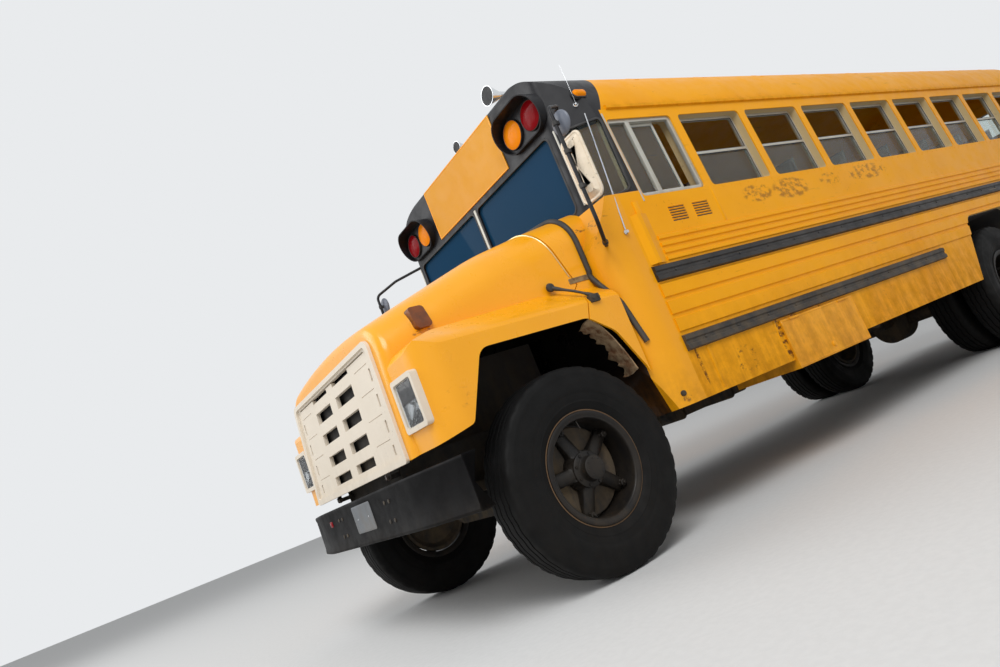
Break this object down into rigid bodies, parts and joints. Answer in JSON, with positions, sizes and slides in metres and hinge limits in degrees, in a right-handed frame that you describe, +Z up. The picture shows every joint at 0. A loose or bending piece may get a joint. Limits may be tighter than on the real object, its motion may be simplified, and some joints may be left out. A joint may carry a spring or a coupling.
{
  "type": "school bus",
  "caption": "Bonneted school bus with a tilting hood, steered front wheels, twin rear wheels, folding entrance door and rear emergency door",
  "frame": {"origin": "centre of the footprint on the ground, under the middle of the length", "axes": "+X forward, +Y to the left, +Z up"},
  "size_m": [8.535, 2.87, 3.14],
  "materials": {
    "body_yellow": "gloss",
    "trim_black": "satin",
    "chassis_black": "matt",
    "grille_silver": "satin",
    "window_alloy": "satin",
    "engine_iron": "matt",
    "glass_clear": "clear",
    "lamp_clear": "clear",
    "lamp_red": "gloss",
    "lamp_amber": "gloss",
    "tyre_rubber": "matt",
    "seat_vinyl": "satin",
    "floor_rubber": "matt",
    "dash_plastic": "matt",
    "horn_chrome": "polished",
    "mirror_steel": "satin"
  },
  "bodies": {
    "bus": {"chassis_frame": "chassis_black", "bumpers": "trim_black", "engine_block": "engine_iron", "radiator": "engine_iron", "drive_shaft": "chassis_black", "front_axle": "chassis_black", "rear_axle": "chassis_black", "leaf_springs": "chassis_black", "fuel_tank": "chassis_black", "exhaust": "engine_iron", "battery_box": "body_yellow", "floor": "floor_rubber", "wheel_housings": "floor_rubber", "hinge_pins": "trim_black", "side_wall_left": "body_yellow", "side_wall_right": "body_yellow", "roof": "body_yellow", "front_cap": "trim_black", "sign_panels": "body_yellow", "rear_wall": "body_yellow", "body_cowl": "body_yellow", "truck_cowl": "body_yellow", "rub_rails": "trim_black", "windscreen_surround": "trim_black", "window_frames": "window_alloy", "glazing": "glass_clear", "seat_cushions_left": "seat_vinyl", "seat_cushions_right": "seat_vinyl", "seat_frames": "chassis_black", "driver_seat": "seat_vinyl", "dashboard": "dash_plastic", "steering_wheel": "dash_plastic", "lamp_visors": "trim_black", "red_lamps": "lamp_red", "amber_lamps": "lamp_amber", "mirror_arms": "trim_black", "mirror_heads": "mirror_steel", "roof_horns": "horn_chrome"},
    "hood_tilt": {"hood": "body_yellow", "grille": "grille_silver", "headlamps": "lamp_clear", "hood_markers": "lamp_amber"},
    "steer_left": {"knuckle_left": "chassis_black"},
    "steer_right": {"knuckle_right": "chassis_black"},
    "track_rod": {"tie_rod": "chassis_black"},
    "wheel_front_left": {"front_rim_left": "trim_black", "front_tyre_left": "tyre_rubber"},
    "wheel_front_right": {"front_rim_right": "trim_black", "front_tyre_right": "tyre_rubber"},
    "wheels_rear_left": {"rear_rims_left": "trim_black", "rear_tyres_left": "tyre_rubber"},
    "wheels_rear_right": {"rear_rims_right": "trim_black", "rear_tyres_right": "tyre_rubber"},
    "door_leaf_front": {"door_front_leaf": "body_yellow", "door_front_glass": "glass_clear"},
    "door_leaf_rear": {"door_rear_leaf": "body_yellow", "door_rear_glass": "glass_clear"},
    "exit_door": {"emergency_door": "body_yellow", "emergency_door_glass": "glass_clear"}
  },
  "joints": [
    {"name": "hood_pivot", "type": "hinge", "parent": "bus", "child": "hood_tilt", "pos_m": [4.2195, 0, 0.845], "axis": [0, 1, 0], "range_deg": [0, 70]},
    {"name": "steering_left", "type": "hinge", "parent": "bus", "child": "steer_left", "pos_m": [3.4625, 0.825, 0.52], "axis": [0, 0, 1], "range_deg": [-35, 35]},
    {"name": "steering_right", "type": "hinge", "parent": "bus", "child": "steer_right", "pos_m": [3.4625, -0.825, 0.52], "axis": [0, 0, 1], "range_deg": [-35, 35]},
    {"name": "tie_rod_swing", "type": "hinge", "parent": "steer_left", "child": "track_rod", "pos_m": [3.2825, 0.825, 0.484], "axis": [0, 0, 1], "range_deg": [-35, 35]},
    {"name": "spin_front_left", "type": "hinge", "parent": "steer_left", "child": "wheel_front_left", "pos_m": [3.4625, 0.985, 0.52], "axis": [0, 1, 0], "continuous": true},
    {"name": "spin_front_right", "type": "hinge", "parent": "steer_right", "child": "wheel_front_right", "pos_m": [3.4625, -0.985, 0.52], "axis": [0, 1, 0], "continuous": true},
    {"name": "spin_rear_left", "type": "hinge", "parent": "bus", "child": "wheels_rear_left", "pos_m": [-1.6425, 0.875, 0.52], "axis": [0, 1, 0], "continuous": true},
    {"name": "spin_rear_right", "type": "hinge", "parent": "bus", "child": "wheels_rear_right", "pos_m": [-1.6425, -0.875, 0.52], "axis": [0, 1, 0], "continuous": true},
    {"name": "door_front_hinge", "type": "hinge", "parent": "bus", "child": "door_leaf_front", "pos_m": [2.4645, -1.185, 1.4], "axis": [0, 0, 1], "range_deg": [0, 84]},
    {"name": "door_fold_hinge", "type": "hinge", "parent": "door_leaf_front", "child": "door_leaf_rear", "pos_m": [2.1795, -1.1525, 1.4], "axis": [0, 0, 1], "range_deg": [-168, 0]},
    {"name": "emergency_hinge", "type": "hinge", "parent": "bus", "child": "exit_door", "pos_m": [-4.1875, -0.48, 1.68], "axis": [0, 0, 1], "range_deg": [0, 105]}
  ],
  "couplings": [
    {"joint": "steering_right", "follows": "steering_left", "ratio": 1},
    {"joint": "tie_rod_swing", "follows": "steering_left", "ratio": -1},
    {"joint": "door_fold_hinge", "follows": "door_front_hinge", "ratio": -2}
  ]
}
